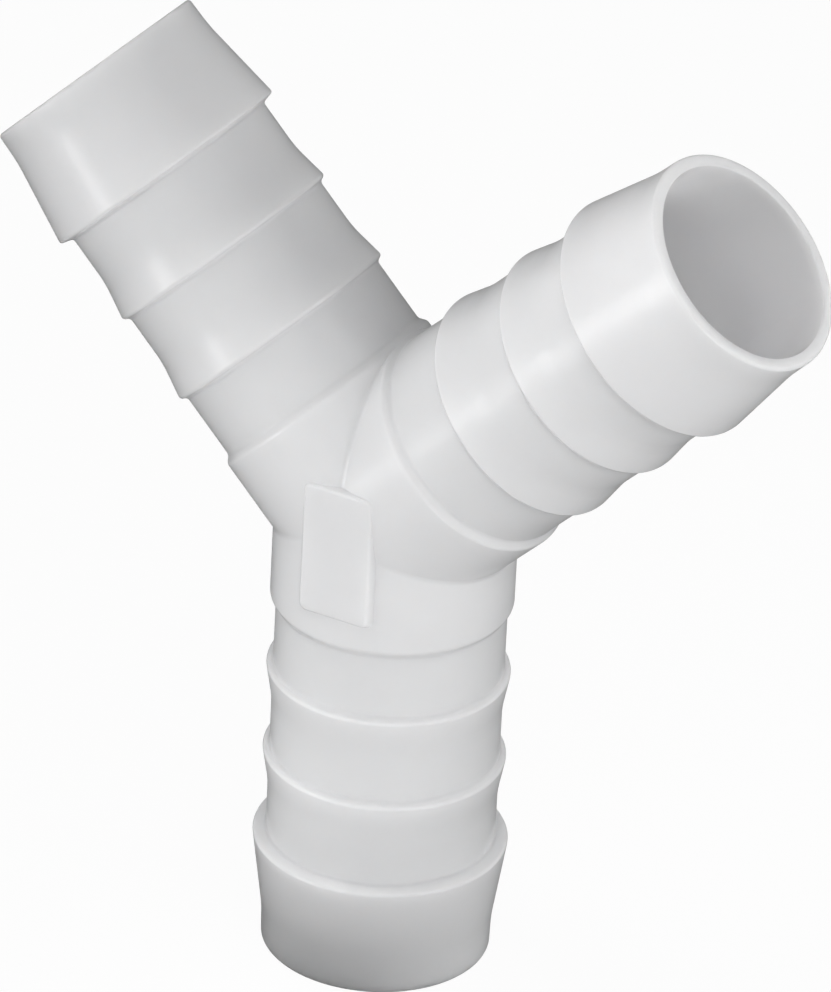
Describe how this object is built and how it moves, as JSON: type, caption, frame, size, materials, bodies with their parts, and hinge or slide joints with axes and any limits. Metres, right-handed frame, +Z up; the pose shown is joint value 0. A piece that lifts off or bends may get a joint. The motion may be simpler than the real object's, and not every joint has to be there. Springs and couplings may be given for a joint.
{
  "type": "hose y-connector",
  "caption": "Y-shaped hose connector moulded in one piece: hollow arms with sawtooth barbs meet in a hub, to join and branch flexible hose.",
  "frame": {"origin": "centre of the lower arm's end rim, on the surface that the part stands on", "axes": "+Z up along the lower arm towards the hub, +X towards the right upper arm, front face with the raised plate towards -Y"},
  "size_m": [0.0726, 0.021, 0.0783],
  "materials": {
    "natural_plastic": "satin, uncoloured and slightly translucent"
  },
  "bodies": {
    "root": {"y_connector_body": "natural_plastic"}
  },
  "joints": []
}
